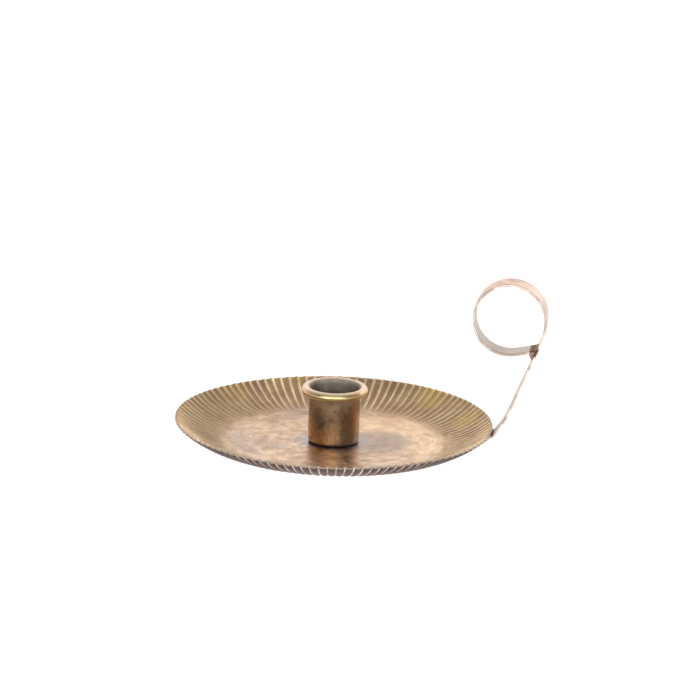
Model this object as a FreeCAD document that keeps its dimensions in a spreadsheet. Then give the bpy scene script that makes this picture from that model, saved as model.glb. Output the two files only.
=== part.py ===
import FreeCAD, Part

import math
import os

import Sketcher
from FreeCAD import Rotation, Vector

# A brass chamberstick in millimetres. The dish's underside rests on z = 0 and its axis is +Z.
# The handle stands in the XZ plane, on the +X side.

os.makedirs("parts", exist_ok=True)
doc = FreeCAD.newDocument("chamberstick")

SIZES = (
    # the dish: a flat floor, then a wall bent on one radius up to the lip
    ("dish_sheet", 0.9, "thickness of the dish's sheet"),
    ("floor_radius", 48.0, "radius of the flat floor"),
    ("lip_radius", 75.2, "radius of the dish at its lip"),
    ("wall_bend", 42.0, "radius on which the wall's underside is bent"),
    ("flute_count", 112, "flutes round the wall"),
    ("flute_depth", 0.65, "depth of a flute at the lip"),
    ("flute_sharpness", 1.3, "how much narrower a flute's ridge is than its valley"),
    ("flute_fade", 10.0, "angle up the wall over which the flutes grow, in degrees"),
    # the candle socket: a drawn cup with its rim rolled outwards
    ("socket_radius", 12.0, "outer radius of the cup"),
    ("socket_sheet", 0.6, "thickness of the cup's wall and floor"),
    ("socket_height", 27.2, "height of the cup above the dish's floor"),
    ("socket_corner", 1.75, "outer radius of the cup's bottom corner"),
    ("roll_radius", 1.8, "radius of the rolled rim, to the middle of its sheet"),
    ("roll_end", 60.0, "angle below the horizontal at which the roll ends, in degrees"),
    # the rivet that holds the socket: flat head inside the cup, flush tail under the dish
    ("shank_radius", 1.6, "radius of the rivet's shank"),
    ("head_radius", 3.4, "radius of the rivet's flat head"),
    ("head_height", 0.8, "height of the rivet's flat head"),
    ("tail_radius", 2.4, "radius of the flush tail in its countersink"),
    ("tail_depth", 0.6, "depth of the countersink"),
    # the handle: one strap, from its foot under the wall to the end of its finger ring
    ("strap_width", 11.4, "width of the strap"),
    ("strap_sheet", 1.2, "thickness of the strap"),
    ("foot_reach", 62.5, "distance from the dish's axis to the end of the foot"),
    ("lip_bend", 6.0, "radius of the bend where the strap leaves the lip"),
    ("lip_turn", 13.0, "angle of that bend, in degrees"),
    ("sweep_bend", 46.4, "radius of the long bend into the riser"),
    ("riser_slope", 67.8, "slope of the straight riser, in degrees"),
    ("shoulder_bend", 31.0, "radius of the bend from the riser into the ring"),
    ("ring_radius", 16.95, "radius of the finger ring, to the middle of the strap"),
    ("ring_height", 66.35, "height of the ring's centre above the table"),
    ("tail_slope", 12.5, "slope of the ring's straight end, in degrees"),
    ("joint_gap", 0.2, "gap between the ring's end and the riser, which the solder fills"),
    # the solder
    ("solder_gap", 0.15, "solder between the strap and the wall"),
    ("solder_side", 0.9, "how far the foot's solder stands out beside the strap"),
    ("solder_run_out", 1.0, "angle by which that solder runs past the end of the foot"),
    ("fillet_width", 10.8, "width of the ring's solder fillet, across the strap"),
    ("fillet_drop", 6.0, "how far that fillet runs down the riser"),
    ("fillet_reach", 3.0, "how far that fillet runs along the ring's end"),
    ("fillet_rise", 1.4, "how far that fillet stands above the ring's end"),
)

sheet = doc.addObject("Spreadsheet::Sheet", "Sizes")
for line, (alias, value, meaning) in enumerate(SIZES, start=1):
    sheet.set(f"A{line}", meaning)
    sheet.set(f"B{line}", str(value))
    sheet.setAlias(f"B{line}", alias)
doc.recompute()


def size(alias):
    """A driving dimension, read from the sheet."""
    return float(sheet.get(alias))


# ---------------------------------------------------------------- helpers for sketches

START, END, CENTRE = 1, 2, 3
ORIGIN = (-1, 1)
AXIS_X, AXIS_Z = -1, -2


def bind(thing, prop, formula):
    """Ties a property to the sheet. A name in square brackets in the formula stands for its cell."""
    for alias, _, _ in SIZES:
        formula = formula.replace(f"[{alias}]", f"Sizes.{alias}")
    thing.setExpression(prop, formula)


def new_body(label):
    body = doc.addObject("PartDesign::Body", label)
    body.Label = label
    return body


def attach(sketch, body, role):
    """Lays a sketch on one of its own body's origin planes."""
    plane = next(item for item in body.Origin.OriginFeatures if item.Role == role)
    sketch.AttachmentSupport = [(plane, "")]
    sketch.MapMode = "FlatFace"


def add_line(sketch, start, end):
    return sketch.addGeometry(Part.LineSegment(Vector(*start, 0), Vector(*end, 0)), False)


def add_arc(sketch, centre, radius, from_deg, to_deg):
    """An arc that runs anticlockwise from one angle to the other."""
    circle = Part.Circle(Vector(*centre, 0), Vector(0, 0, 1), radius)
    arc = Part.ArcOfCircle(circle, math.radians(from_deg), math.radians(to_deg))
    return sketch.addGeometry(arc, False)


def fix(sketch, kind, *where):
    """A geometric constraint."""
    return sketch.addConstraint(Sketcher.Constraint(kind, *where))


def measure(sketch, kind, where, formula, drawn):
    """A dimension tied to the sheet, whose value is at first the one that was drawn."""
    index = sketch.addConstraint(Sketcher.Constraint(kind, *where, drawn))
    bind(sketch, f"Constraints[{index}]", formula)


def sine(angle_deg):
    return math.sin(math.radians(angle_deg))


def polar(centre, radius, angle_deg):
    angle = math.radians(angle_deg)
    return (centre[0] + radius * math.cos(angle), centre[1] + radius * math.sin(angle))


def revolve(body, sketch, axis, angle=360.0):
    feature = body.newObject("PartDesign::Revolution", f"{body.Label}_turned")
    feature.Profile = sketch
    feature.ReferenceAxis = (sketch, [axis])
    feature.Angle = angle
    sketch.Visibility = False
    return feature


# ---------------------------------------------------------------- dish


def flute_profile(turn):
    """Height across one flute, from 0 in the valley to 1 on the ridge, over a turn of 2 pi."""
    sharp = size("flute_sharpness")
    low, high = math.exp(-sharp), math.exp(sharp)
    return (math.exp(sharp * math.cos(turn)) - low) / (high - low)


def flute_growth(angle):
    """How deep the flutes are at an angle up the wall, as a share of their depth at the lip."""
    step = min(1.0, angle / math.radians(size("flute_fade")))
    eased = step * step * (3.0 - 2.0 * step)
    radius = size("floor_radius") + size("wall_bend") * math.sin(angle)
    return eased * radius / size("lip_radius")


def skin_patch(depth_in_sheet):
    """One flute's skin: the ridge runs up its middle, and its sides are the valleys' bottoms."""
    across, along = 13, 16
    wall = size("wall_bend")
    floor = size("floor_radius")
    lip_angle = math.asin((size("lip_radius") - floor) / wall)
    half_pitch = math.pi / size("flute_count")
    grid = []
    for column in range(across):
        turn = math.pi * (2.0 * column / (across - 1) - 1.0)
        bearing = turn / math.pi * half_pitch
        points = []
        for row in range(along):
            angle = lip_angle * row / (along - 1)
            height = size("flute_depth") * flute_growth(angle) * flute_profile(turn)
            reach = wall - depth_in_sheet - height
            radius = floor + reach * math.sin(angle)
            level = wall - reach * math.cos(angle)
            points.append(Vector(radius * math.cos(bearing), radius * math.sin(bearing), level))
        grid.append(points)
    surface = Part.BSplineSurface()
    surface.interpolate(grid)
    return surface


def patch_edge(surface, at_lip):
    """The patch's edge at the lip, or its edge where the wall meets the floor."""
    first, last = surface.bounds()[2:]
    return surface.vIso(last if at_lip else first).toShape()


def turned_copies(shape):
    count = int(size("flute_count"))
    copies = []
    for index in range(count):
        copy = shape.copy()
        copy.rotate(Vector(0, 0, 0), Vector(0, 0, 1), 360.0 * index / count)
        copies.append(copy)
    return copies


def make_dish_sheet():
    """The pressed sheet before it is drilled: two fluted skins, two floors and the lip's edge."""
    under = skin_patch(0.0)
    upper = skin_patch(size("dish_sheet"))
    lip = Part.makeRuledSurface(patch_edge(under, True), patch_edge(upper, True))
    faces = []
    for piece in (under.toShape(), upper.toShape(), lip):
        faces += turned_copies(piece)
    for skin in (under, upper):
        rim = Part.Wire(Part.__sortEdges__(turned_copies(patch_edge(skin, False))))
        faces.append(Part.Face(rim))
    shell = Part.makeShell(faces)
    shell.sewShape()
    solid = Part.makeSolid(shell.Shells[0])
    if solid.Volume < 0:
        solid.reverse()
    return solid


def build_dish():
    blank = doc.addObject("Part::Feature", "dish_blank")
    blank.Shape = make_dish_sheet()

    sink = doc.addObject("Part::Cone", "rivet_countersink")
    bind(sink, "Radius1", "[tail_radius]")
    bind(sink, "Radius2", "[shank_radius]")
    bind(sink, "Height", "[tail_depth]")
    drill = doc.addObject("Part::Cylinder", "rivet_hole")
    bind(drill, "Radius", "[shank_radius]")
    bind(drill, "Height", "[dish_sheet]")
    cutter = doc.addObject("Part::Fuse", "rivet_cutter")
    cutter.Base = sink
    cutter.Tool = drill

    dish = doc.addObject("Part::Cut", "dish")
    dish.Base = blank
    dish.Tool = cutter
    return dish


# ---------------------------------------------------------------- candle socket


def build_candle_socket():
    """A cup turned about Z: floor, rounded corner, wall, and a rim rolled out over itself."""
    body = new_body("candle_socket")
    bind(body, "Placement.Base.z", "[dish_sheet]")
    sketch = body.newObject("Sketcher::SketchObject", "socket_section")
    attach(sketch, body, "XZ_Plane")

    outer, thick, hole = size("socket_radius"), size("socket_sheet"), size("shank_radius")
    corner, roll = size("socket_corner"), size("roll_radius")
    inner_roll, outer_roll = roll - thick / 2, roll + thick / 2
    level = size("socket_height") - outer_roll
    bend = (outer - corner, corner)
    curl = (outer + inner_roll, level)
    roll_end = -180.0 + size("roll_end")

    under = add_line(sketch, (hole, 0), (bend[0], 0))
    corner_out = add_arc(sketch, bend, corner, -90, 0)
    wall_out = add_line(sketch, (outer, corner), (outer, level))
    curl_in = add_arc(sketch, curl, inner_roll, roll_end, 180)
    lip = add_line(sketch, polar(curl, inner_roll, roll_end), polar(curl, outer_roll, roll_end))
    curl_out = add_arc(sketch, curl, outer_roll, roll_end, 180)
    bore = add_line(sketch, (outer - thick, level), (outer - thick, corner))
    corner_in = add_arc(sketch, bend, corner - thick, -90, 0)
    floor = add_line(sketch, (bend[0], thick), (hole, thick))
    drilled = add_line(sketch, (hole, thick), (hole, 0))

    fix(sketch, "Tangent", under, END, corner_out, START)
    fix(sketch, "Tangent", corner_out, END, wall_out, START)
    fix(sketch, "Tangent", wall_out, END, curl_in, END)
    fix(sketch, "Coincident", curl_in, START, lip, START)
    fix(sketch, "Coincident", lip, END, curl_out, START)
    fix(sketch, "Tangent", curl_out, END, bore, START)
    fix(sketch, "Tangent", bore, END, corner_in, END)
    fix(sketch, "Tangent", corner_in, START, floor, START)
    fix(sketch, "Coincident", floor, END, drilled, START)
    fix(sketch, "Coincident", drilled, END, under, START)
    for level_line in (under, floor):
        fix(sketch, "Horizontal", level_line)
    for upright in (wall_out, bore, drilled):
        fix(sketch, "Vertical", upright)
    fix(sketch, "Coincident", corner_in, CENTRE, corner_out, CENTRE)
    fix(sketch, "Coincident", curl_out, CENTRE, curl_in, CENTRE)
    fix(sketch, "PointOnObject", curl_in, CENTRE, lip)
    fix(sketch, "PointOnObject", under, START, AXIS_X)

    measure(sketch, "DistanceX", (*ORIGIN, under, START), "[shank_radius]", hole)
    measure(sketch, "DistanceX", (*ORIGIN, wall_out, START), "[socket_radius]", outer)
    measure(sketch, "DistanceX", (bore, START, wall_out, END), "[socket_sheet]", thick)
    measure(sketch, "Radius", (corner_out,), "[socket_corner]", corner)
    measure(sketch, "Radius", (curl_in,), "[roll_radius] - [socket_sheet] / 2", inner_roll)
    measure(sketch, "DistanceY", (*ORIGIN, curl_in, CENTRE),
            "[socket_height] - [roll_radius] - [socket_sheet] / 2", level)
    measure(sketch, "DistanceY", (lip, START, curl_in, CENTRE),
            "([roll_radius] - [socket_sheet] / 2) * sin([roll_end] * 1 deg)",
            inner_roll * math.sin(math.radians(size("roll_end"))))
    revolve(body, sketch, "V_Axis")
    return body


# ---------------------------------------------------------------- rivet


def build_socket_rivet():
    """Flush tail, shank through both floors, and a flat head in the cup."""
    body = new_body("socket_rivet")
    sketch = body.newObject("Sketcher::SketchObject", "rivet_section")
    attach(sketch, body, "XZ_Plane")

    shank, head, tail = size("shank_radius"), size("head_radius"), size("tail_radius")
    sink = size("tail_depth")
    seat = size("dish_sheet") + size("socket_sheet")
    top = seat + size("head_height")
    corners = ((0, 0), (tail, 0), (shank, sink), (shank, seat), (head, seat), (head, top), (0, top))
    lines = []
    for index, corner in enumerate(corners):
        lines.append(add_line(sketch, corner, corners[(index + 1) % len(corners)]))
    for index, line in enumerate(lines):
        fix(sketch, "Coincident", line, END, lines[(index + 1) % len(lines)], START)
    under, cone, shaft, ledge, rim, crown, axis = lines
    for level_line in (under, ledge, crown):
        fix(sketch, "Horizontal", level_line)
    for upright in (shaft, rim, axis):
        fix(sketch, "Vertical", upright)
    fix(sketch, "Coincident", under, START, *ORIGIN)

    measure(sketch, "DistanceX", (*ORIGIN, under, END), "[tail_radius]", tail)
    measure(sketch, "DistanceX", (*ORIGIN, shaft, START), "[shank_radius]", shank)
    measure(sketch, "DistanceX", (*ORIGIN, rim, START), "[head_radius]", head)
    measure(sketch, "DistanceY", (*ORIGIN, cone, END), "[tail_depth]", sink)
    measure(sketch, "DistanceY", (*ORIGIN, shaft, END), "[dish_sheet] + [socket_sheet]", seat)
    measure(sketch, "DistanceY", (rim, START, rim, END), "[head_height]", top - seat)
    revolve(body, sketch, "V_Axis")
    return body


# ---------------------------------------------------------------- handle strap


JOINT_CLEARANCE = "[joint_gap] + [strap_sheet] * cos(([riser_slope] - [tail_slope]) * 1 deg)"


def joint_clearance():
    """How far the upper corner of the ring's end stays from the riser."""
    turn = size("riser_slope") - size("tail_slope")
    return size("joint_gap") + size("strap_sheet") * sine(90 - turn)


def riser_distance(point, riser_foot):
    """How far a point lies to the left of the riser's upper face."""
    across, up = riser_foot[0] - point[0], riser_foot[1] - point[1]
    return across * sine(size("riser_slope")) - up * sine(90 - size("riser_slope"))


def build_strap_line():
    """The strap's course in the XZ plane: foot, lip bend, sweep, riser, shoulder, ring and end."""
    sketch = doc.addObject("Sketcher::SketchObject", "strap_line")
    sketch.Placement.Rotation = Rotation(Vector(1, 0, 0), 90)

    hub = (size("floor_radius"), size("wall_bend"))
    # the line is the strap's upper face, which the solder joins to the wall's underside
    reach = size("wall_bend") + size("solder_gap")
    foot_from = math.degrees(math.asin((size("foot_reach") - hub[0]) / reach))
    lip_angle = math.degrees(math.asin((size("lip_radius") - hub[0]) / size("wall_bend")))
    lip_end = lip_angle + size("lip_turn")
    slope = size("riser_slope")
    half = size("strap_sheet") / 2

    # each bend's centre lies on the line from the bend before it to their common point
    lip_radius, sweep_radius = size("lip_bend") - half, size("sweep_bend") - half
    ring_radius = size("ring_radius") - half
    lip_centre = polar(polar(hub, reach, lip_angle - 90), lip_radius, lip_angle + 90)
    sweep_centre = polar(polar(lip_centre, lip_radius, lip_end - 90), sweep_radius, lip_end + 90)
    riser_foot = polar(sweep_centre, sweep_radius, slope - 90)
    # the shoulder bends the riser upright, level with the ring's centre
    shoulder_radius = size("shoulder_bend") - half
    climb = size("ring_height") - riser_foot[1] - shoulder_radius * sine(90 - slope)
    riser_top = polar(riser_foot, climb / sine(slope), slope)
    shoulder_centre = polar(riser_top, shoulder_radius, slope + 90)
    ring_centre = polar(shoulder_centre, shoulder_radius - ring_radius, 0)
    tail_slope = size("tail_slope")
    ring_end = 270 + tail_slope
    tail_from = polar(ring_centre, ring_radius, ring_end)
    # the straight end stops where its outer corner is one gap short of the riser
    clearance = joint_clearance()
    tail_length = (riser_distance(tail_from, riser_foot) - clearance) / sine(slope - tail_slope)

    foot = add_arc(sketch, hub, reach, foot_from - 90, lip_angle - 90)
    bend = add_arc(sketch, lip_centre, lip_radius, lip_angle - 90, lip_end - 90)
    sweep = add_arc(sketch, sweep_centre, sweep_radius, lip_end - 90, slope - 90)
    riser = add_line(sketch, riser_foot, riser_top)
    shoulder = add_arc(sketch, shoulder_centre, shoulder_radius, slope - 90, 0)
    ring = add_arc(sketch, ring_centre, ring_radius, 0, ring_end)
    tail = add_line(sketch, tail_from, polar(tail_from, tail_length, tail_slope))

    course = (foot, bend, sweep, riser, shoulder, ring, tail)
    for earlier, later in zip(course, course[1:]):
        fix(sketch, "Tangent", earlier, END, later, START)

    measure(sketch, "DistanceX", (*ORIGIN, foot, CENTRE), "[floor_radius]", hub[0])
    measure(sketch, "DistanceY", (*ORIGIN, foot, CENTRE), "[wall_bend]", hub[1])
    measure(sketch, "Radius", (foot,), "[wall_bend] + [solder_gap]", reach)
    measure(sketch, "DistanceX", (*ORIGIN, foot, START), "[foot_reach]", size("foot_reach"))
    measure(sketch, "DistanceX", (foot, CENTRE, foot, END),
            "([wall_bend] + [solder_gap]) * ([lip_radius] - [floor_radius]) / [wall_bend]",
            reach * math.sin(math.radians(lip_angle)))
    measure(sketch, "Radius", (bend,), "[lip_bend] - [strap_sheet] / 2", lip_radius)
    measure(sketch, "Angle", (bend,), "[lip_turn] * 1 deg", math.radians(size("lip_turn")))
    measure(sketch, "Radius", (sweep,), "[sweep_bend] - [strap_sheet] / 2", sweep_radius)
    measure(sketch, "Angle", (riser,), "[riser_slope] * 1 deg", math.radians(slope))
    measure(sketch, "Radius", (shoulder,), "[shoulder_bend] - [strap_sheet] / 2", shoulder_radius)
    measure(sketch, "Radius", (ring,), "[ring_radius] - [strap_sheet] / 2", ring_radius)
    fix(sketch, "Horizontal", shoulder, CENTRE, ring, CENTRE)
    measure(sketch, "DistanceY", (*ORIGIN, ring, CENTRE), "[ring_height]", size("ring_height"))
    measure(sketch, "Angle", (tail,), "[tail_slope] * 1 deg", math.radians(tail_slope))
    measure(sketch, "Distance", (tail, END, riser), JOINT_CLEARANCE, clearance)
    for name, kind, length in (("joint_x", "DistanceX", 90.0), ("joint_z", "DistanceY", 50.0)):
        index = sketch.addConstraint(Sketcher.Constraint(kind, *ORIGIN, tail, END, length))
        sketch.setDriving(index, False)
        sketch.renameConstraint(index, name)
    return sketch


def build_handle_strap(strap_line):
    """The strap's edge view, drawn out from its course and spread over its width."""
    outline = doc.addObject("Part::Offset2D", "strap_outline")
    outline.Source = strap_line
    bind(outline, "Value", "-[strap_sheet]")
    outline.Fill = True
    outline.Mode = "Skin"

    strap = doc.addObject("Part::Extrusion", "handle_strap")
    strap.Base = outline
    strap.DirMode = "Custom"
    strap.Dir = Vector(0, 1, 0)
    bind(strap, "LengthFwd", "[strap_width]")
    strap.Solid = True
    strap.Symmetric = True
    return strap


# ---------------------------------------------------------------- solder


def build_foot_solder(dish, strap):
    """What fills the space between the foot and the flutes, with a fillet along each side."""
    body = new_body("foot_solder_blank")
    bind(body, "Placement.Base.x", "[floor_radius]")
    bind(body, "Placement.Base.z", "[wall_bend]")
    body.Placement.Rotation = Rotation(Vector(0, -1, 0), 1)
    bind(body, "Placement.Rotation.Angle",
         "asin(([foot_reach] - [floor_radius]) / [wall_bend]) - [solder_run_out] * 1 deg")
    sketch = body.newObject("Sketcher::SketchObject", "solder_section")
    attach(sketch, body, "YZ_Plane")

    # the section hangs below the wall's bending axis, which is the sketch's horizontal one
    half = size("strap_width") / 2
    flare = size("solder_side")
    top = size("dish_sheet") / 2 - size("wall_bend")
    bottom = -size("wall_bend") - size("solder_gap") - size("strap_sheet") / 2
    corners = ((-half - flare, top), (half + flare, top), (half, bottom), (-half, bottom))
    lines = []
    for index, corner in enumerate(corners):
        lines.append(add_line(sketch, corner, corners[(index + 1) % len(corners)]))
    for index, line in enumerate(lines):
        fix(sketch, "Coincident", line, END, lines[(index + 1) % len(lines)], START)
    upper, _, lower, _ = lines
    for level_line in (upper, lower):
        fix(sketch, "Symmetric", level_line, START, level_line, END, AXIS_Z)
    measure(sketch, "DistanceX", (upper, START, upper, END),
            "[strap_width] + 2 * [solder_side]", 2 * (half + flare))
    measure(sketch, "DistanceX", (lower, END, lower, START), "[strap_width]", 2 * half)
    measure(sketch, "DistanceY", (upper, START, *ORIGIN), "[wall_bend] - [dish_sheet] / 2", -top)
    measure(sketch, "DistanceY", (lower, START, *ORIGIN),
            "[wall_bend] + [solder_gap] + [strap_sheet] / 2", -bottom)
    turned = revolve(body, sketch, "H_Axis")
    turned.Reversed = True
    bind(turned, "Angle",
         "asin(([lip_radius] - [floor_radius]) / [wall_bend])"
         " - asin(([foot_reach] - [floor_radius]) / [wall_bend])")

    under_wall = doc.addObject("Part::Cut", "solder_under_wall")
    under_wall.Base = body
    under_wall.Tool = dish
    solder = doc.addObject("Part::Cut", "foot_solder")
    solder.Base = under_wall
    solder.Tool = strap
    return solder


def build_loop_solder(strap):
    """The fillets above and below the ring's end, joined through the gap before the riser."""
    sketch = doc.addObject("Sketcher::SketchObject", "fillet_section")
    sketch.Placement.Rotation = Rotation(Vector(1, 0, 0), 90)
    sketch.setExpression("Placement.Base.x", "strap_line.Constraints.joint_x")
    sketch.setExpression("Placement.Base.z", "strap_line.Constraints.joint_z")

    # seen from the upper corner of the ring's end; two sides lie inside the strap's thickness
    slope, tail_slope = size("riser_slope"), size("tail_slope")
    half = size("strap_sheet") / 2
    reach, rise, drop = size("fillet_reach"), size("fillet_rise"), size("fillet_drop")
    tail_face = polar((0, 0), half, tail_slope - 90)
    riser_face = polar((0, 0), joint_clearance() + half, slope - 90)
    on_tail = [polar(tail_face, length, tail_slope + 180) for length in (reach, rise)]
    on_riser = []
    for level in (-drop, rise):
        length = (level - riser_face[1]) / sine(slope)
        on_riser.append(polar(riser_face, length, slope))
    below = add_line(sketch, on_tail[0], on_riser[0])
    riser_side = add_line(sketch, on_riser[0], on_riser[1])
    above = add_line(sketch, on_riser[1], on_tail[1])
    tail_side = add_line(sketch, on_tail[1], on_tail[0])
    outline = (below, riser_side, above, tail_side)
    for index, line in enumerate(outline):
        fix(sketch, "Coincident", line, END, outline[(index + 1) % len(outline)], START)

    measure(sketch, "Angle", (riser_side,), "[riser_slope] * 1 deg", math.radians(slope))
    measure(sketch, "Angle", (tail_side,), "([tail_slope] + 180) * 1 deg",
            math.radians(tail_slope + 180))
    measure(sketch, "Distance", (*ORIGIN, riser_side), f"{JOINT_CLEARANCE} + [strap_sheet] / 2",
            joint_clearance() + half)
    measure(sketch, "Distance", (*ORIGIN, tail_side), "[strap_sheet] / 2", half)
    measure(sketch, "DistanceY", (below, END, *ORIGIN), "[fillet_drop]", drop)
    measure(sketch, "DistanceY", (*ORIGIN, above, START), "[fillet_rise]", rise)
    measure(sketch, "Distance", (below, START, *ORIGIN),
            "sqrt([fillet_reach] ^ 2 + [strap_sheet] ^ 2 / 4)", math.hypot(reach, half))
    measure(sketch, "Distance", (above, END, *ORIGIN),
            "sqrt([fillet_rise] ^ 2 + [strap_sheet] ^ 2 / 4)", math.hypot(rise, half))

    blank = doc.addObject("Part::Extrusion", "fillet_blank")
    blank.Base = sketch
    blank.DirMode = "Custom"
    blank.Dir = Vector(0, 1, 0)
    bind(blank, "LengthFwd", "[fillet_width]")
    blank.Solid = True
    blank.Symmetric = True
    solder = doc.addObject("Part::Cut", "loop_solder")
    solder.Base = blank
    solder.Tool = strap
    return solder


# ---------------------------------------------------------------- the assembly


def check_states():
    for item in doc.Objects:
        if "Invalid" in item.State or "Error" in item.State:
            raise RuntimeError(f"{item.Name} failed: {item.State}")


def export(nodes):
    for node in nodes:
        shape = node.Shape
        if shape.isNull() or not shape.isValid() or len(shape.Solids) != 1:
            raise RuntimeError(f"{node.Label} isn't one valid solid")
    for node in nodes:
        node.Shape.exportStep(f"parts/{node.Label}.step")
        box = node.Shape.optimalBoundingBox()
        print(f"{node.Label}: {node.Shape.Volume:.1f} mm3, z {box.ZMin:.2f} to {box.ZMax:.2f}")


def main():
    dish = build_dish()
    socket = build_candle_socket()
    rivet = build_socket_rivet()
    strap_line = build_strap_line()
    strap = build_handle_strap(strap_line)
    foot_solder = build_foot_solder(dish, strap)
    loop_solder = build_loop_solder(strap)
    doc.recompute()
    check_states()
    export((dish, socket, rivet, strap, foot_solder, loop_solder))


main()
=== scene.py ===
import math

import bpy
import numpy as np
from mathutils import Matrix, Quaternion, Vector


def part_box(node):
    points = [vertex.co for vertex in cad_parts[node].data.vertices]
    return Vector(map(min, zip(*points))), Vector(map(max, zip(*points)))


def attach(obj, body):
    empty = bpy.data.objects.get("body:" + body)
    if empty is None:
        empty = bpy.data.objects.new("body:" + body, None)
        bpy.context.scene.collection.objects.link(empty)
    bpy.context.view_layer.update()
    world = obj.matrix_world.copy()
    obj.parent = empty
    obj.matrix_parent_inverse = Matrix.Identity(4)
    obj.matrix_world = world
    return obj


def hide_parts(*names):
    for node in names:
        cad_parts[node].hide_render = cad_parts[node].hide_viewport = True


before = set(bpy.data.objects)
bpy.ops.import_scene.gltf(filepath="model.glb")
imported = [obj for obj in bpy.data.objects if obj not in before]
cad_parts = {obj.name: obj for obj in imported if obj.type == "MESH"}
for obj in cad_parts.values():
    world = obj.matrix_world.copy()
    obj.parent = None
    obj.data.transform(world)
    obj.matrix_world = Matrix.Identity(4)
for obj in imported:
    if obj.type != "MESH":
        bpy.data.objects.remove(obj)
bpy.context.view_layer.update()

# A brass chamberstick in metres, in the CAD model's frame: the dish rests on z = 0 about the Z axis,
# and the handle stands in the XZ plane on the +X side.

TAU = 2 * math.pi

# the dish
SHEET = 0.0009
FLOOR_RADIUS = 0.048
LIP_RADIUS = 0.0752
LIP_LEVEL = 0.0106
WALL_BEND = 0.042  # of the wall's underside
FLUTES = 112
FLUTE_DEPTH = 0.00065
FLUTE_SHARPNESS = 1.3
FLUTE_FADE = math.radians(10)
FLUTE_STEPS = 12
FLUTE_SPREAD = 0.14  # in depth, from one flute to the next

# the candle socket
CUP_RADIUS = 0.012
CUP_SHEET = 0.0006
CUP_CORNER = 0.00175
CUP_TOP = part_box("candle_socket")[1].z
ROLL_RADIUS = 0.0018
ROLL_END = 60  # degrees under the horizontal

# the rivet, whose outline stops just short of the axis
SHANK_RADIUS = 0.0016
HEAD_RADIUS = 0.0034
HEAD_HEIGHT = 0.0008
TAIL_RADIUS = 0.0024
TAIL_DEPTH = 0.0006
NEAR_AXIS = 0.00002

# the strap, to the middle of its thickness
STRAP_WIDTH = 0.0114
STRAP_SHEET = 0.0012
STRAP_EDGE = 0.0004
FOOT_REACH = 0.0625
SOLDER_GAP = 0.00015
LIP_BEND, LIP_TURN = 0.006, 13
SWEEP_BEND = 0.0464
RISER_SLOPE = 67.8
SHOULDER_BEND = 0.031
RING_RADIUS, RING_HEIGHT = 0.01695, 0.06635
TAIL_SLOPE = 12.5
JOINT_GAP = 0.0002
END_ROUNDING = 0.00012

random = np.random.default_rng(7)


# ---------------------------------------------------------------- meshes


def make_piece(name, points, faces, material):
    """A smooth mesh. All of the object is one body."""
    mesh = bpy.data.meshes.new(name)
    mesh.from_pydata([tuple(point) for point in points], [], faces)
    mesh.polygons.foreach_set("use_smooth", [True] * len(mesh.polygons))
    mesh.materials.append(material)
    mesh.update()
    piece = bpy.data.objects.new(name, mesh)
    bpy.context.scene.collection.objects.link(piece)
    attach(piece, "root")
    return piece


def store(piece, name, values):
    """Keeps one number per point, which the material reads."""
    layer = piece.data.attributes.new(name, "FLOAT", "POINT")
    layer.data.foreach_set("value", np.asarray(values, np.float32).ravel())


def grid_faces(rows, columns, closed_rows=False):
    """Quads between the rows of a grid whose columns run round and close."""
    faces = []
    last = rows if closed_rows else rows - 1
    for row in range(last):
        this, above = row * columns, (row + 1) % rows * columns
        for column in range(columns):
            beside = (column + 1) % columns
            faces.append((this + column, this + beside, above + beside, above + column))
    return faces


def arc(centre, radius, from_deg, to_deg, steps):
    """Points on an arc, both ends included."""
    points = []
    for step in range(steps + 1):
        angle = math.radians(from_deg + (to_deg - from_deg) * step / steps)
        points.append((centre[0] + radius * math.cos(angle), centre[1] + radius * math.sin(angle)))
    return points


def steps_between(start, end, count):
    """Points on a straight line, without its ends."""
    return [
        (start[0] + (end[0] - start[0]) * k / count, start[1] + (end[1] - start[1]) * k / count)
        for k in range(1, count)
    ]


def spin(name, outline, material, columns=160, wobble=0.0, closed=True):
    """Turns an outline of (radius, level) points about Z, a little out of true."""
    around = np.arange(columns) / columns * TAU
    radius = np.array([point[0] for point in outline])[:, None]
    level = np.array([point[1] for point in outline])[:, None] + 0 * around[None]
    out = 1 + wobble * (np.sin(2 * around + 0.6) + 0.5 * np.sin(3 * around + 2.0))[None]
    x = radius * out * np.cos(around)[None]
    y = radius * out * np.sin(around)[None]
    points = np.stack([x, y, level], -1).reshape(-1, 3)
    faces = grid_faces(len(outline), columns, closed_rows=closed)
    return make_piece(name, points, faces, material)


# ---------------------------------------------------------------- dish


def ridge(turn):
    """Height across a flute: narrow ridges between wide valleys."""
    low, high = math.exp(-FLUTE_SHARPNESS), math.exp(FLUTE_SHARPNESS)
    return (np.exp(FLUTE_SHARPNESS * np.cos(turn)) - low) / (high - low)


def growth(angle):
    """How deep the flutes are at an angle up the wall."""
    step = min(1.0, angle / FLUTE_FADE)
    radius = FLOOR_RADIUS + WALL_BEND * math.sin(angle)
    return step * step * (3 - 2 * step) * radius / LIP_RADIUS


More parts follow.
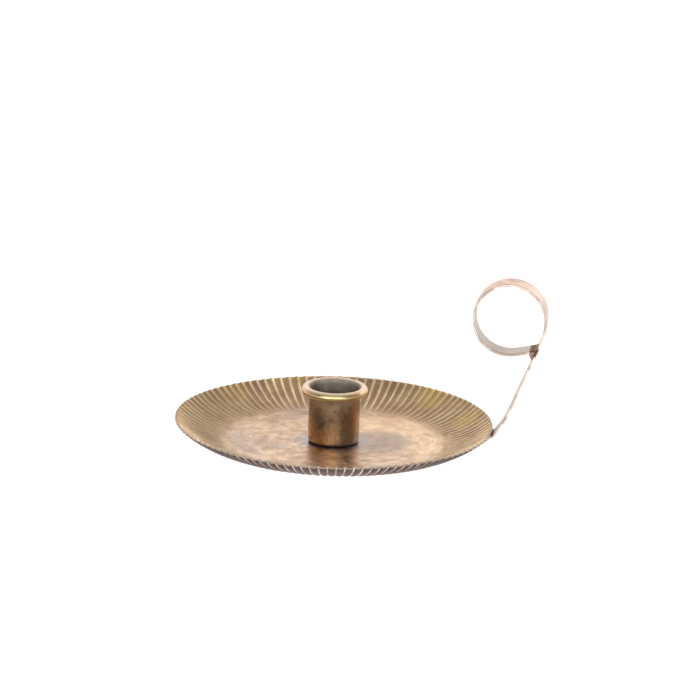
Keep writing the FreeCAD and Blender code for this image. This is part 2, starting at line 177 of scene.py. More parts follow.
def sheet_rows():
    """The sheet's section as rows: radius and level of its middle, its outward tilt, flute growth
    and the row's offset from the middle, along and across the sheet."""
    middle = WALL_BEND - SHEET / 2
    half = SHEET / 2
    lip_angle = math.asin((LIP_RADIUS - FLOOR_RADIUS) / WALL_BEND) - half / WALL_BEND
    floor = [(radius, half, 0.0, 0.0) for radius in np.linspace(SHANK_RADIUS, FLOOR_RADIUS, 26)[:-1]]
    wall = []
    for angle in np.linspace(0, lip_angle, 24):
        radius = FLOOR_RADIUS + middle * math.sin(angle)
        wall.append((radius, WALL_BEND - middle * math.cos(angle), angle, growth(angle)))
    section = floor + wall
    rows = [(*row, 0.0, half) for row in section]
    for turn in np.linspace(0, math.pi, 7)[1:-1]:
        rows.append((*section[-1], half * math.sin(turn), half * math.cos(turn)))
    rows += [(*row, 0.0, -half) for row in reversed(section)]
    return rows


def build_dish(material):
    """The pressed sheet, with flutes that differ a little, and a lip that isn't quite level."""
    columns = FLUTES * FLUTE_STEPS
    around = np.arange(columns) / columns * TAU
    depth = np.repeat(1 + FLUTE_SPREAD * random.standard_normal(FLUTES), FLUTE_STEPS)
    easing = np.ones(FLUTE_STEPS) / FLUTE_STEPS
    depth = np.convolve(np.tile(depth, 3), easing, "same")[columns:-columns]
    drift = 0.25 * np.sin(5 * around + 1) + 0.2 * np.sin(11 * around) + 0.12 * np.sin(23 * around + 2)
    height = ridge(FLUTES * around + drift) * depth
    sway = 0.00022 * np.sin(2 * around + 0.9) + 0.00014 * np.sin(3 * around + 4.0)

    points = []
    shades = {"ridge": [], "climb": [], "inside": [], "edge": []}
    rows = sheet_rows()
    for radius, level, tilt, grown, along, across in rows:
        rise = FLUTE_DEPTH * grown * height + across
        climb = max(0.0, (radius - FLOOR_RADIUS) / (LIP_RADIUS - FLOOR_RADIUS))
        reach = radius - rise * math.sin(tilt) + along * math.cos(tilt)
        lift = level + rise * math.cos(tilt) + along * math.sin(tilt) + sway * climb**2
        if across > 0 and CUP_RADIUS < radius < FLOOR_RADIUS:
            lift = lift + floor_waves(radius, around)
        points.append(np.stack([reach * np.cos(around), reach * np.sin(around), lift], -1))
        shades["ridge"].append(grown * height)
        shades["climb"].append(np.full(columns, climb))
        shades["inside"].append(np.full(columns, 0.5 + across / SHEET))
        shades["edge"].append(np.full(columns, 2 * along / SHEET))
    points = np.concatenate(points)
    dish = make_piece("dish_sheet", points, grid_faces(len(rows), columns, True), material)
    for name, rings in shades.items():
        store(dish, name, np.concatenate(rings))
    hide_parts("dish")


def floor_waves(radius, around):
    """The pressed floor isn't quite flat: long shallow waves, a few hundredths of a millimetre."""
    x, y = radius * np.cos(around), radius * np.sin(around)
    waves = np.sin(170 * x + 60 * y + 0.4) + np.sin(-90 * x + 150 * y + 2.1)
    waves = waves + 0.7 * np.sin(230 * x - 130 * y + 4.0)
    eased = min(1.0, (radius - CUP_RADIUS) / 0.01, (FLOOR_RADIUS - radius) / 0.008)
    return 0.00002 * eased * waves


# ---------------------------------------------------------------- candle socket and rivet


def build_socket(material):
    """A drawn cup with its rim rolled outwards and down."""
    base = SHEET
    inner_roll, outer_roll = ROLL_RADIUS - CUP_SHEET / 2, ROLL_RADIUS + CUP_SHEET / 2
    bend = (CUP_RADIUS - CUP_CORNER, base + CUP_CORNER)
    curl = (CUP_RADIUS + inner_roll, CUP_TOP - outer_roll)
    roll_end = ROLL_END - 180
    inner_corner = CUP_CORNER - CUP_SHEET
    bore = CUP_RADIUS - CUP_SHEET

    outline = [(SHANK_RADIUS, base)]
    outline += steps_between(outline[-1], (bend[0], base), 4)
    outline += arc(bend, CUP_CORNER, -90, 0, 8)
    outline += steps_between(outline[-1], (CUP_RADIUS, curl[1]), 16)
    outline += arc(curl, inner_roll, 180, roll_end, 22)
    outline += arc(curl, outer_roll, roll_end, 180, 34)
    outline += steps_between(outline[-1], (bore, bend[1]), 16)
    outline += arc(bend, inner_corner, 0, -90, 6)
    outline += steps_between(outline[-1], (SHANK_RADIUS, base + CUP_SHEET), 4)
    outline += [(SHANK_RADIUS, base + CUP_SHEET)]
    cup = spin("socket_cup", outline, material, columns=192, wobble=0.0012)
    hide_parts("candle_socket")


def build_rivet(material):
    """Flush tail, shank and a flat head with a softened edge."""
    seat = SHEET + CUP_SHEET
    top = seat + HEAD_HEIGHT
    soft = HEAD_HEIGHT * 0.45
    outline = [(NEAR_AXIS, 0), (TAIL_RADIUS, 0), (SHANK_RADIUS, TAIL_DEPTH), (SHANK_RADIUS, seat)]
    outline += [(HEAD_RADIUS - soft / 3, seat)]
    outline += arc((HEAD_RADIUS - soft, top - soft), soft, 0, 90, 6)
    outline += [(HEAD_RADIUS * 0.5, top + 0.00004), (NEAR_AXIS, top + 0.00006)]
    rivet = spin("rivet", outline, material, columns=64, wobble=0.004, closed=False)
    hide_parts("socket_rivet")


# ---------------------------------------------------------------- handle strap


def strap_course():
    """Points along the strap's middle in the XZ plane, as (x, z, heading), from foot to ring end.
    It is walked like a path: straight lengths, and left turns of a radius and an angle."""
    reach = WALL_BEND + SOLDER_GAP + STRAP_SHEET / 2
    foot = math.degrees(math.asin((FOOT_REACH - FLOOR_RADIUS) / (WALL_BEND + SOLDER_GAP)))
    lip = math.degrees(math.asin((LIP_RADIUS - FLOOR_RADIUS) / WALL_BEND))
    start = math.radians(foot)
    at = [FLOOR_RADIUS + reach * math.sin(start), WALL_BEND - reach * math.cos(start)]
    course = [(at[0], at[1], foot)]

    def straight(length, steps):
        heading = math.radians(course[-1][2])
        for _ in range(steps):
            at[0] += length / steps * math.cos(heading)
            at[1] += length / steps * math.sin(heading)
            course.append((at[0], at[1], course[-1][2]))

    def turn_to(slope, radius, steps):
        first = course[-1][2]
        centre = (at[0] - radius * math.sin(math.radians(first)),
                  at[1] + radius * math.cos(math.radians(first)))
        for step in range(1, steps + 1):
            heading = first + (slope - first) * step / steps
            at[0] = centre[0] + radius * math.sin(math.radians(heading))
            at[1] = centre[1] - radius * math.cos(math.radians(heading))
            course.append((at[0], at[1], heading))

    turn_to(lip, reach, 14)
    turn_to(lip + LIP_TURN, LIP_BEND, 6)
    turn_to(RISER_SLOPE, SWEEP_BEND, 12)
    slope = math.radians(RISER_SLOPE)
    riser_start = tuple(at)
    straight((RING_HEIGHT - SHOULDER_BEND * math.cos(slope) - at[1]) / math.sin(slope), 36)
    turn_to(90, SHOULDER_BEND, 12)
    turn_to(360 + TAIL_SLOPE, RING_RADIUS, 110)
    # the end stops one gap short of the riser, measured at its outer corner
    away = (riser_start[0] - at[0]) * math.sin(slope) - (riser_start[1] - at[1]) * math.cos(slope)
    crossing = math.radians(RISER_SLOPE - TAIL_SLOPE)
    corner = JOINT_GAP + STRAP_SHEET / 2 * (1 + math.cos(crossing))
    straight((away - corner) / math.sin(crossing), 10)
    return course


def strap_section():
    """The strap's section, with rounded edges, as points (across, through)."""
    section = []
    half_width, half_sheet = STRAP_WIDTH / 2 - STRAP_EDGE, STRAP_SHEET / 2 - STRAP_EDGE
    for side_x, side_z, first in ((1, 1, 0), (-1, 1, 90), (-1, -1, 180), (1, -1, 270)):
        section += arc((side_x * half_width, side_z * half_sheet), STRAP_EDGE, first, first + 90, 4)
        if side_x == side_z:
            section += steps_between(section[-1], (-side_x * half_width, section[-1][1]), 10)
    return section


def build_strap(material):
    """The strap's section carried along its course, with its ends closed and softened."""
    course = strap_course()
    section = strap_section()
    count = len(section)
    points, alongs, acrosses, throughs, joints = [], [], [], [], []
    joint = course[-1]
    walked = 0.0
    for index, (x, z, slope) in enumerate(course):
        if index:
            walked += math.hypot(x - course[index - 1][0], z - course[index - 1][1])
        angle = math.radians(slope)
        width = 1 + 0.010 * math.sin(walked * 90) + 0.006 * math.sin(walked * 210 + 1)
        lean = 0.0001 * math.sin(walked * 60 + 2)
        from_joint = math.hypot(x - joint[0], z - joint[1])
        for across, through in section:
            points.append((x - through * math.sin(angle), across * width + lean,
                           z + through * math.cos(angle)))
            alongs.append(walked)
            acrosses.append(across / (STRAP_WIDTH / 2))
            throughs.append(through / (STRAP_SHEET / 2))
            joints.append(from_joint)
    faces = grid_faces(len(course), count)
    for row, sign, end in ((0, -1, course[0]), (len(course) - 1, 1, course[-1])):
        cap = len(points)
        angle = math.radians(end[2])
        step = sign * END_ROUNDING
        for across, through in section:
            points.append((end[0] + step * math.cos(angle) - 0.8 * through * math.sin(angle),
                           across * 0.97, end[1] + step * math.sin(angle)
                           + 0.8 * through * math.cos(angle)))
            alongs.append(walked if sign > 0 else 0.0)
            acrosses.append(across / (STRAP_WIDTH / 2))
            throughs.append(0.0)
            joints.append(math.hypot(end[0] - joint[0], end[1] - joint[1]))
        for column in range(count):
            beside = (column + 1) % count
            quad = (row * count + column, row * count + beside, cap + beside, cap + column)
            faces.append(quad if sign > 0 else quad[::-1])
        ring = tuple(range(cap, cap + count))
        faces.append(ring if sign > 0 else ring[::-1])
    strap = make_piece("strap", points, faces, material)
    store(strap, "along", alongs)
    store(strap, "across", acrosses)
    store(strap, "through", throughs)
    store(strap, "from_joint", joints)
    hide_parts("handle_strap")


# ---------------------------------------------------------------- solder


def build_solder(node, name, voxel, material):
    """The CAD fillet, rounded as solder runs, with a few hundredths of a millimetre of lumps."""
    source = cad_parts[node]
    piece = bpy.data.objects.new(name, source.data.copy())
    bpy.context.scene.collection.objects.link(piece)
    piece.data.materials.clear()
    piece.data.materials.append(material)
    bpy.context.view_layer.objects.active = piece
    remesh = piece.modifiers.new("remesh", "REMESH")
    remesh.mode = "VOXEL"
    remesh.voxel_size = voxel
    smooth = piece.modifiers.new("smooth", "SMOOTH")
    smooth.factor = 0.5
    smooth.iterations = 5
    bpy.context.view_layer.update()
    shaped = piece.evaluated_get(bpy.context.evaluated_depsgraph_get())
    mesh = bpy.data.meshes.new_from_object(shaped)
    piece.modifiers.clear()
    piece.data = mesh
    points = np.empty(len(mesh.vertices) * 3)
    mesh.vertices.foreach_get("co", points)
    points = points.reshape(-1, 3)
    lumps = np.sin(points @ np.array([1900.0, 700.0, 1300.0])) * np.sin(points[:, 1] * 1500 + 1)
    points += 0.00006 * lumps[:, None] * np.array([0.6, 0.2, 0.8])
    mesh.vertices.foreach_set("co", points.ravel())
    mesh.polygons.foreach_set("use_smooth", [True] * len(mesh.polygons))
    mesh.update()
    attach(piece, "root")
    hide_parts(node)


# ---------------------------------------------------------------- materials

# Colours are linear. Lengths, and the places of patches, are in metres.


class Nodes:
    """A node tree's nodes, written as calls."""

    def __init__(self, owner):
        owner.use_nodes = True
        self.nodes = owner.node_tree.nodes
        self.links = owner.node_tree.links

    def put(self, socket, value):
        """Links an output to the socket, or sets the socket's own value."""
        if isinstance(value, bpy.types.NodeSocket):
            self.links.new(value, socket)
        elif isinstance(value, tuple) and len(value) == 3 and socket.type == "RGBA":
            socket.default_value = (*value, 1.0)
        else:
            socket.default_value = value

    def math(self, operation, *values):
        node = self.nodes.new("ShaderNodeMath")
        node.operation = operation
        for socket, value in zip(node.inputs, values):
            self.put(socket, value)
        return node.outputs[0]

    def times(self, first, second):
        return self.math("MULTIPLY", first, second)

    def vector(self, operation, *vectors):
        node = self.nodes.new("ShaderNodeVectorMath")
        node.operation = operation
        for socket, value in zip(node.inputs, vectors):
            self.put(socket, value)
        return node.outputs["Value" if operation == "LENGTH" else "Vector"]

    def axes(self, vector):
        """A vector's X, Y and Z."""
        node = self.nodes.new("ShaderNodeSeparateXYZ")
        self.put(node.inputs[0], vector)
        return node.outputs["X"], node.outputs["Y"], node.outputs["Z"]

    def join(self, *values):
        """A vector from its X, Y and Z."""
        node = self.nodes.new("ShaderNodeCombineXYZ")
        for socket, value in zip(node.inputs, values):
            self.put(socket, value)
        return node.outputs[0]

    def span(self, value, low, high, to_low=0.0, to_high=1.0):
        """Carries a value's range low to high onto another, with soft ends."""
        node = self.nodes.new("ShaderNodeMapRange")
        node.interpolation_type = "SMOOTHSTEP"
        for socket, number in zip(node.inputs[:5], (value, low, high, to_low, to_high)):
            self.put(socket, number)
        return node.outputs[0]


class Paint(Nodes):
    """A material."""

    def __init__(self, name):
        self.material = bpy.data.materials.new(name)
        super().__init__(self.material)
        self.shader = self.nodes["Principled BSDF"]
        self.place = self.nodes.new("ShaderNodeTexCoord").outputs["Object"]

    def mapped(self, scale):
        """The place on the piece, scaled along each axis."""
        node = self.nodes.new("ShaderNodeMapping")
        self.put(node.inputs["Vector"], self.place)
        node.inputs["Scale"].default_value = scale
        return node.outputs[0]

    def noise(self, scale, detail=4.0, rough=0.55, vector=None, warp=0.0):
        node = self.nodes.new("ShaderNodeTexNoise")
        self.put(node.inputs["Vector"], vector or self.place)
        node.inputs["Scale"].default_value = scale
        node.inputs["Detail"].default_value = detail
        node.inputs["Roughness"].default_value = rough
        node.inputs["Distortion"].default_value = warp
        return node.outputs["Fac"]

    def attribute(self, name):
        node = self.nodes.new("ShaderNodeAttribute")
        node.attribute_name = name
        return node.outputs["Fac"]

    def mix(self, share, first, second):
        """The first colour, with a share of the second laid over it."""
        node = self.nodes.new("ShaderNodeMix")
        node.data_type = "RGBA"
        self.put(node.inputs["Factor"], share)
        self.put(node.inputs[6], first)
        self.put(node.inputs[7], second)
        return node.outputs[2]

    def bump(self, height, depth, under=None):
        node = self.nodes.new("ShaderNodeBump")
        node.inputs["Distance"].default_value = depth
        node.inputs["Strength"].default_value = 1.0
        self.put(node.inputs["Height"], height)
        if under is not None:
            self.put(node.inputs["Normal"], under)
        return node.outputs[0]

    def finish(self, colour, rough, normal, metallic=1.0):
        self.put(self.shader.inputs["Base Color"], colour)
        self.put(self.shader.inputs["Roughness"], rough)
        self.put(self.shader.inputs["Normal"], normal)
        self.put(self.shader.inputs["Metallic"], metallic)
        return self.material


def swirls(paint, around, outwards, detail=4.0, rough=0.6, warp=0.3):
    """Noise drawn out round the axis, as wiping and spinning leave it."""
    flat = paint.vector("MULTIPLY", paint.place, (1, 1, 0))
    x, y, _ = paint.axes(paint.vector("NORMALIZE", flat))
    far = paint.vector("LENGTH", flat)
    turned = paint.join(paint.times(x, around), paint.times(y, around), paint.times(far, outwards))
    return paint.noise(1.0, detail, rough, turned, warp)


def patch(paint, centre, size, ragged=0.35):
    """A soft oval share round a point of the dish, with a ragged border."""
    node = paint.nodes.new("ShaderNodeMapping")
    node.vector_type = "TEXTURE"
    paint.put(node.inputs["Vector"], paint.place)
    node.inputs["Location"].default_value = (*centre, 0.0)
    node.inputs["Scale"].default_value = (*size, 1.0)
    far = paint.vector("LENGTH", node.outputs[0])
    torn = paint.times(paint.noise(150.0, 5.0, 0.6), 2 * ragged)
    reach = paint.math("ADD", far, torn)
    return paint.span(reach, 0.5 + ragged, 1.2 + ragged, 1.0, 0.0)


def floor_colour(paint, streaks, blots, grain):
    """Wiped pinkish brass, bright on the handle's side, dull and grey close to the cup; the bright
    patches, the grey bands and the grey round the cup are partly patina and partly painted reflection.
    """
    tan, pale = (0.61, 0.40, 0.26), (0.84, 0.59, 0.40)
    copper, shine = (0.86, 0.56, 0.34), (1.0, 0.735, 0.465)
    dull_brown, halo_grey = (0.43, 0.31, 0.235), (0.36, 0.36, 0.39)

    bands = swirls(paint, 1.6, 90.0, 3.0)
    colour = paint.mix(paint.span(streaks, 0.38, 0.62), tan, pale)
    # grey bands round the axis: partly tarnish, partly painted reflection
    colour = paint.mix(paint.span(bands, 0.5, 0.66, 0.0, 0.6), colour, (0.49, 0.38, 0.32))
    colour = paint.mix(paint.span(blots, 0.5, 0.7, 0.0, 0.45), colour, (0.52, 0.36, 0.24))
    # the bright patches on the handle's side: partly lighter brass, partly a painted reflection
    bright = paint.math("MAXIMUM", patch(paint, (0.026, 0.029), (0.024, 0.021)),
                        patch(paint, (0.043, 0.004), (0.012, 0.020)))
    gleam = paint.mix(paint.span(streaks, 0.4, 0.6), copper, shine)
    colour = paint.mix(paint.times(bright, 0.9), colour, gleam)
    dull = patch(paint, (0.021, 0.002), (0.018, 0.020))
    colour = paint.mix(paint.times(dull, 0.85), colour, dull_brown)
    colour = paint.mix(paint.span(grain, 0.5, 0.68, 0.0, 0.5), colour, (0.44, 0.31, 0.23))
    # grey close to the cup: partly tarnish, partly painted reflection
    halo = patch(paint, (0.0, 0.0), (0.0175, 0.0175), 0.15)
    return paint.mix(paint.times(halo, 0.85), colour, halo_grey)


def wall_colour(paint, ridge_height, climb, blots, grain):
    """Brown valleys under pale worn crests, and a golder tone that shows through in places."""
    valley_dark, valley_light = (0.41, 0.26, 0.14), (0.56, 0.385, 0.205)
    crest_light, crest_dark = (0.98, 0.73, 0.50), (0.80, 0.57, 0.37)
    gold_spots = (((0.060, 0.030), 0.008), ((0.043, 0.058), 0.010), ((-0.054, 0.049), 0.010))

    clouds = paint.noise(34.0, 5.0, 0.6, warp=0.6)
    valley = paint.mix(paint.span(clouds, 0.4, 0.6), valley_dark, valley_light)
    crest = paint.mix(paint.span(blots, 0.4, 0.65), crest_light, crest_dark)
    colour = paint.mix(paint.span(ridge_height, 0.18, 0.75), valley, crest)
    gilt = paint.times(paint.span(clouds, 0.54, 0.62), paint.span(climb, 0.5, 0.8))
    colour = paint.mix(paint.times(gilt, 0.35), colour, (0.80, 0.52, 0.17))
    for spot, reach in gold_spots:
        gold = patch(paint, spot, (reach, reach))
        colour = paint.mix(paint.times(gold, 0.42), colour, (0.85, 0.58, 0.20))
    # painted shade: the flutes on the left side of the dish are darkened
    left_side_shade = patch(paint, (-0.070, 0.010), (0.045, 0.060))
    colour = paint.mix(paint.times(left_side_shade, 0.5), colour, (0.36, 0.23, 0.14))
    return paint.mix(paint.span(grain, 0.5, 0.68, 0.0, 0.4), colour, (0.36, 0.24, 0.15))


def underside_shade_and_reflection(paint, groove, climb, blots):
    """Painted shade in dark brown, for the shadow that the underside reflects, with pale painted
    reflections of the white floor in the grooves.
    """
    # the dark browns are painted shade; the pale groove colours are painted reflection
    shade_near_floor, shade_near_lip = (0.135, 0.068, 0.058), (0.075, 0.041, 0.026)
    groove_reflection_light, groove_reflection_dark = (0.80, 0.66, 0.63), (0.50, 0.38, 0.35)

    dark = paint.mix(paint.span(climb, 0.6, 1.0), shade_near_floor, shade_near_lip)
    pale = paint.mix(paint.span(blots, 0.4, 0.6), groove_reflection_light, groove_reflection_dark)
    return paint.mix(groove, dark, pale)


def dish_brass():
    paint = Paint("dish_brass")
    ridge_height, climb = paint.attribute("ridge"), paint.attribute("climb")
    streaks = swirls(paint, 5.0, 260.0)
    grain = swirls(paint, 30.0, 1600.0, 3.0, 0.7)
    blots = paint.noise(140.0, 5.0, 0.65)
    specks = paint.noise(800.0, 3.0, 0.6)

    floor = floor_colour(paint, streaks, blots, grain)
    wall = wall_colour(paint, ridge_height, climb, blots, grain)
    top = paint.mix(paint.span(climb, 0.0, 0.42), floor, wall)
    groove = paint.span(ridge_height, 0.6, 0.95)
    # the underside's colours are painted shade and painted reflection
    under = underside_shade_and_reflection(paint, groove, climb, blots)
    inside = paint.span(paint.attribute("inside"), 0.1, 0.5)
    colour = paint.mix(inside, under, top)
    edge = paint.span(paint.attribute("edge"), 0.3, 0.8, 0.0, 0.8)
    colour = paint.mix(edge, colour, (0.55, 0.46, 0.36))
    colour = paint.mix(paint.span(specks, 0.6, 0.75, 0.0, 0.45), colour, (0.26, 0.18, 0.11))

    rough = paint.span(blots, 0.3, 0.7, 0.28, 0.46)
    marks = swirls(paint, 14.0, 2600.0, 2.0)
    normal = paint.bump(blots, 0.00003, paint.bump(marks, 0.00001))
    metal = paint.math("MAXIMUM", paint.span(groove, 0.0, 1.0, 0.2, 0.9), inside)
    paint.shader.inputs["Specular IOR Level"].default_value = 0.05
    return paint.finish(colour, rough, normal, metal)


def cup_outside_colour(paint, x, level, clouds, blots):
    """Brown patina, greener low on the right, with painted light: a copper reflection of the dish low
    on the left, shade at the left and right sides, and a gold bead with a highlight at its middle,
    shade towards its ends and a pinker top.
    """
    brown_dark, brown_light = (0.32, 0.22, 0.145), (0.47, 0.33, 0.20)
    copper, green_brown, side_shade = (1.0, 0.55, 0.20), (0.45, 0.38, 0.25), (0.38, 0.20, 0.12)
    bead_highlight, bead_end_shade, bead_top = (1.0, 0.80, 0.42), (0.62, 0.42, 0.24), (0.86, 0.63, 0.45)

    aside = paint.math("ABSOLUTE", x)
    body = paint.mix(paint.span(clouds, 0.4, 0.62), brown_dark, brown_light)
    # painted reflection of the dish: copper low on the cup's left
    dish_reflection = paint.times(paint.span(level, 0.003, 0.017, 1.0, 0.0),
                       paint.span(x, -0.011, 0.004, 1.0, 0.0))
    dish_reflection = paint.times(dish_reflection, paint.span(clouds, 0.32, 0.52))
    body = paint.mix(dish_reflection, body, copper)
    green = paint.times(paint.span(x, 0.0, 0.008, 0.0, 0.75),
                        paint.span(level, 0.004, 0.014, 1.0, 0.0))
    body = paint.mix(green, body, green_brown)
    # painted shade at the cup's left and right sides
    body = paint.mix(paint.span(aside, 0.0065, 0.0115, 0.0, 0.7), body, side_shade)
    body = paint.mix(paint.span(blots, 0.5, 0.7, 0.0, 0.6), body, (0.24, 0.20, 0.13))

    # painted highlight at the bead's middle, painted shade towards its left and right ends, and a
    # painted pinker top
    bead = paint.mix(paint.span(aside, 0.004, 0.012), bead_highlight, bead_end_shade)
    bead = paint.mix(paint.span(blots, 0.45, 0.75, 0.0, 0.45), bead, (0.60, 0.42, 0.22))
    bead = paint.mix(paint.span(level, CUP_TOP - 0.0008, CUP_TOP), bead, bead_top)
    bead_from = CUP_TOP - 2 * ROLL_RADIUS - CUP_SHEET
    return paint.mix(paint.span(level, bead_from, bead_from + 0.0004), body, bead)


def cup_inside_colour(paint, x, level, clouds):
    """Grey-green where light reaches it, and painted shade in dark brown at its sides and below."""
    grey_dark, grey_light = (0.47, 0.41, 0.32), (0.67, 0.65, 0.53)

    colour = paint.mix(paint.span(clouds, 0.42, 0.6), grey_dark, grey_light)
    # painted shade at the left and right sides inside the cup
    aside = paint.span(paint.math("ABSOLUTE", x), 0.004, 0.011, 0.0, 0.75)
    colour = paint.mix(aside, colour, (0.22, 0.15, 0.11))
    # painted shade deeper in the cup
    depth = paint.span(level, CUP_TOP - 0.011, CUP_TOP - 0.002, 1.0, 0.0)
    return paint.mix(depth, colour, (0.17, 0.10, 0.075))


def socket_brass():
    paint = Paint("socket_brass")
    clouds = paint.noise(90.0, 5.0, 0.65, warp=0.8)
    blots = paint.noise(330.0, 5.0, 0.65)
    x, _, level = paint.axes(paint.place)
    far = paint.vector("LENGTH", paint.mapped((1.0, 1.0, 0.0)))

    # the wall's inner face, and the bead's where it turns in at the mouth
    mouth = paint.times(paint.span(far, CUP_RADIUS - 0.0002, CUP_RADIUS + 0.0011, 1.0, 0.0),
                        paint.span(level, CUP_TOP - 0.0045, CUP_TOP - 0.002))
    bore = paint.span(far, CUP_RADIUS - 0.0003, CUP_RADIUS - 0.0001, 1.0, 0.0)
    inside = paint.math("MAXIMUM", mouth, bore)

    colour = paint.mix(inside, cup_outside_colour(paint, x, level, clouds, blots),
                       cup_inside_colour(paint, x, level, clouds))
    # painted shade where the cup stands on the dish: darker towards its foot
    base_shade = paint.span(level, SHEET, SHEET + 0.0024, 0.65, 0.0)
    colour = paint.mix(base_shade, colour, (0.07, 0.05, 0.04))
    rough = paint.math("MAXIMUM", paint.span(blots, 0.3, 0.7, 0.24, 0.42),
                       paint.times(inside, 0.6))
    rings = paint.noise(1400.0, 2.0, 0.5, paint.mapped((0.02, 0.02, 1.0)))
    normal = paint.bump(clouds, 0.00005, paint.bump(rings, 0.000008))
    return paint.finish(colour, rough, normal, paint.span(inside, 0.0, 1.0, 1.0, 0.3))


def strap_brass():
    """Worn bright pinkish brass: greyer inside the ring, with banded edges and a dark solder stain."""
    worn_dark, worn_light = (0.58, 0.40, 0.31), (0.86, 0.62, 0.47)
    inner_grey, inner_dark_brown, foot_pink = (0.44, 0.37, 0.32), (0.30, 0.235, 0.205), (0.60, 0.47, 0.46)
    edge_dark, edge_light = (0.50, 0.39, 0.35), (0.92, 0.78, 0.70)

    paint = Paint("strap_brass")
    along, across = paint.attribute("along"), paint.attribute("across")
    through, from_joint = paint.attribute("through"), paint.attribute("from_joint")
    clouds = paint.noise(60.0, 5.0, 0.6, warp=0.5)
    blots = paint.noise(260.0, 4.0, 0.6)
    lengthwise = paint.join(paint.times(along, 0.02), paint.times(across, 0.006))
    marks = paint.noise(1500.0, 3.0, 0.6, lengthwise)

    colour = paint.mix(paint.span(clouds, 0.38, 0.62), worn_dark, worn_light)
    inner = paint.span(through, 0.0, 0.9, 0.0, 0.75)
    colour = paint.mix(inner, colour, inner_grey)
    # the ring's inner face turns darker away from the joint
    inner_darkening = paint.times(inner, paint.span(from_joint, 0.008, 0.019))
    colour = paint.mix(paint.times(inner_darkening, 0.75), colour, inner_dark_brown)
    colour = paint.mix(paint.span(along, 0.030, 0.042, 0.8, 0.0), colour, foot_pink)
    colour = paint.mix(paint.span(blots, 0.5, 0.72, 0.0, 0.5), colour, (0.50, 0.38, 0.31))
    bands = paint.noise(1.0, 3.0, 0.6, paint.mapped((90.0, 20.0, 90.0)))
    edge = paint.mix(paint.span(bands, 0.42, 0.58), edge_dark, edge_light)
    at_edge = paint.span(paint.math("ABSOLUTE", across), 0.9, 1.0, 0.0, 0.8)
    colour = paint.mix(at_edge, colour, edge)
    ragged = paint.math("ADD", from_joint, paint.times(blots, 0.0018))
    stain = paint.times(paint.span(ragged, 0.0028, 0.0042, 1.0, 0.0),
                        paint.span(through, -0.9, -0.2))
    colour = paint.mix(stain, colour, (0.22, 0.13, 0.09))

    rough = paint.math("MAXIMUM", paint.span(marks, 0.3, 0.7, 0.26, 0.42), paint.times(stain, 0.6))
    normal = paint.bump(clouds, 0.00005, paint.bump(marks, 0.00001))
    return paint.finish(colour, rough, normal)


def solder_metal():
    """Dark solder, mottled, with painted light making it paler at the strap's foot."""
    dark, light, foot_painted_light = (0.26, 0.16, 0.11), (0.38, 0.28, 0.21), (0.62, 0.48, 0.42)

    paint = Paint("solder")
    blots = paint.noise(500.0, 5.0, 0.6)
    clouds = paint.noise(220.0, 4.0, 0.6)
    level = paint.axes(paint.place)[2]
    colour = paint.mix(paint.span(blots, 0.4, 0.65), dark, light)
    colour = paint.mix(paint.span(clouds, 0.5, 0.7), colour, (0.30, 0.26, 0.22))
    # painted light: paler low down, at the strap's foot
    colour = paint.mix(paint.span(level, 0.012, 0.03, 0.8, 0.0), colour, foot_painted_light)
    rough = paint.span(blots, 0.3, 0.7, 0.45, 0.7)
    return paint.finish(colour, rough, paint.bump(blots, 0.0001), 0.55)


# ---------------------------------------------------------------- studio


def look_at(thing, place, target, roll_deg=0.0):
    thing.location = place
    aim = (Vector(target) - Vector(place)).to_track_quat("-Z", "Y")
    thing.rotation_mode = "QUATERNION"
    thing.rotation_quaternion = aim @ Quaternion((0, 0, 1), math.radians(roll_deg))


def build_camera():
    """A long lens, a little above the dish and a little to the handle's side of square on."""
    azimuth, elevation, roll_deg = math.radians(5.0), math.radians(16.75), 1.9
    distance, field = 6.0, 0.3296
    lip_centre = Vector((0, 0, LIP_LEVEL))
    back = Vector((math.sin(azimuth) * math.cos(elevation), -math.cos(azimuth) * math.cos(elevation),
                   math.sin(elevation)))
    right = Vector((math.cos(azimuth), math.sin(azimuth), 0))
    up = back.cross(right)
    target = lip_centre + right * 0.0065 + up * 0.0337
    data = bpy.data.cameras.new("camera")
    data.sensor_width = 36
    data.lens = data.sensor_width * distance / field
    data.clip_end = 50
    camera = bpy.data.objects.new("camera", data)
    bpy.context.scene.collection.objects.link(camera)
    look_at(camera, lip_centre + back * distance, target, roll_deg)
    bpy.context.scene.camera = camera


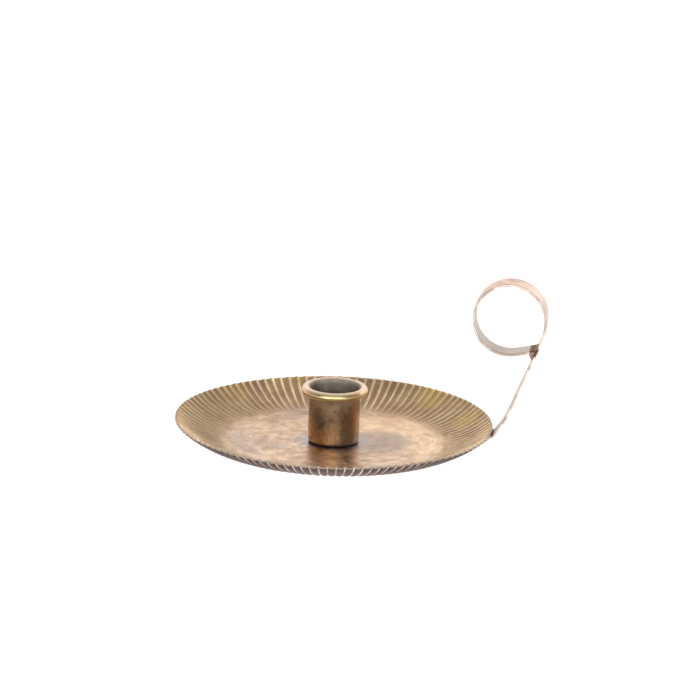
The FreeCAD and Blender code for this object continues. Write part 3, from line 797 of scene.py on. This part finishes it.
def build_sky():
    """White light: brightest low behind the object, a low strip in front, and a little overhead."""
    world = bpy.data.worlds.new("studio")
    bpy.context.scene.world = world
    sky = Nodes(world)
    _, back, height = sky.axes(sky.nodes.new("ShaderNodeTexCoord").outputs["Generated"])
    behind = sky.times(sky.span(back, -0.3, 0.6, 0.25, 1.2), sky.span(height, 0.35, 0.95, 1.0, 0.45))
    before = sky.times(sky.span(back, -0.74, -0.84), sky.span(height, 0.3, 0.6, 2.0, 0.0))
    overhead = sky.span(height, 0.7, 0.95, 0.0, 0.35)
    bright = sky.math("ADD", sky.math("ADD", behind, before), overhead)
    background = sky.nodes["Background"]
    background.inputs["Color"].default_value = (1, 1, 1, 1)
    sky.put(background.inputs["Strength"], bright)


def build_table():
    """A plain white floor just under the dish, bright enough of itself to show no shadow."""
    half, level = 20, -0.0001
    corners = [(x * half, y * half, level) for x, y in ((-1, -1), (1, -1), (1, 1), (-1, 1))]
    paint = Paint("table")
    paint.finish((0.3, 0.3, 0.3), 0.8, paint.bump(paint.noise(300.0), 0.00001), 0.0)
    paint.shader.inputs["Emission Color"].default_value = (1, 1, 1, 1)
    paint.shader.inputs["Emission Strength"].default_value = 1.0
    mesh = bpy.data.meshes.new("table")
    mesh.from_pydata(corners, [], [(0, 1, 2, 3)])
    mesh.materials.append(paint.material)
    table = bpy.data.objects.new("table", mesh)
    bpy.context.scene.collection.objects.link(table)


def build_light():
    """A soft light from behind, on the handle's side."""
    data = bpy.data.lights.new("right", "AREA")
    data.shape = "RECTANGLE"
    data.size, data.size_y = 1.0, 0.8
    data.energy = 2.5
    light = bpy.data.objects.new("right", data)
    bpy.context.scene.collection.objects.link(light)
    look_at(light, (1.2, 1.2, 0.8), (0.01, 0, 0.02))


def main():
    bpy.context.scene.view_settings.view_transform = "Standard"
    build_camera()
    build_sky()
    build_table()
    build_light()
    build_dish(dish_brass())
    brass = socket_brass()
    build_socket(brass)
    build_rivet(brass)
    build_strap(strap_brass())
    solder = solder_metal()
    build_solder("loop_solder", "ring_fillet", 0.00022, solder)
    build_solder("foot_solder", "foot_fillet", 0.00025, solder)


main()
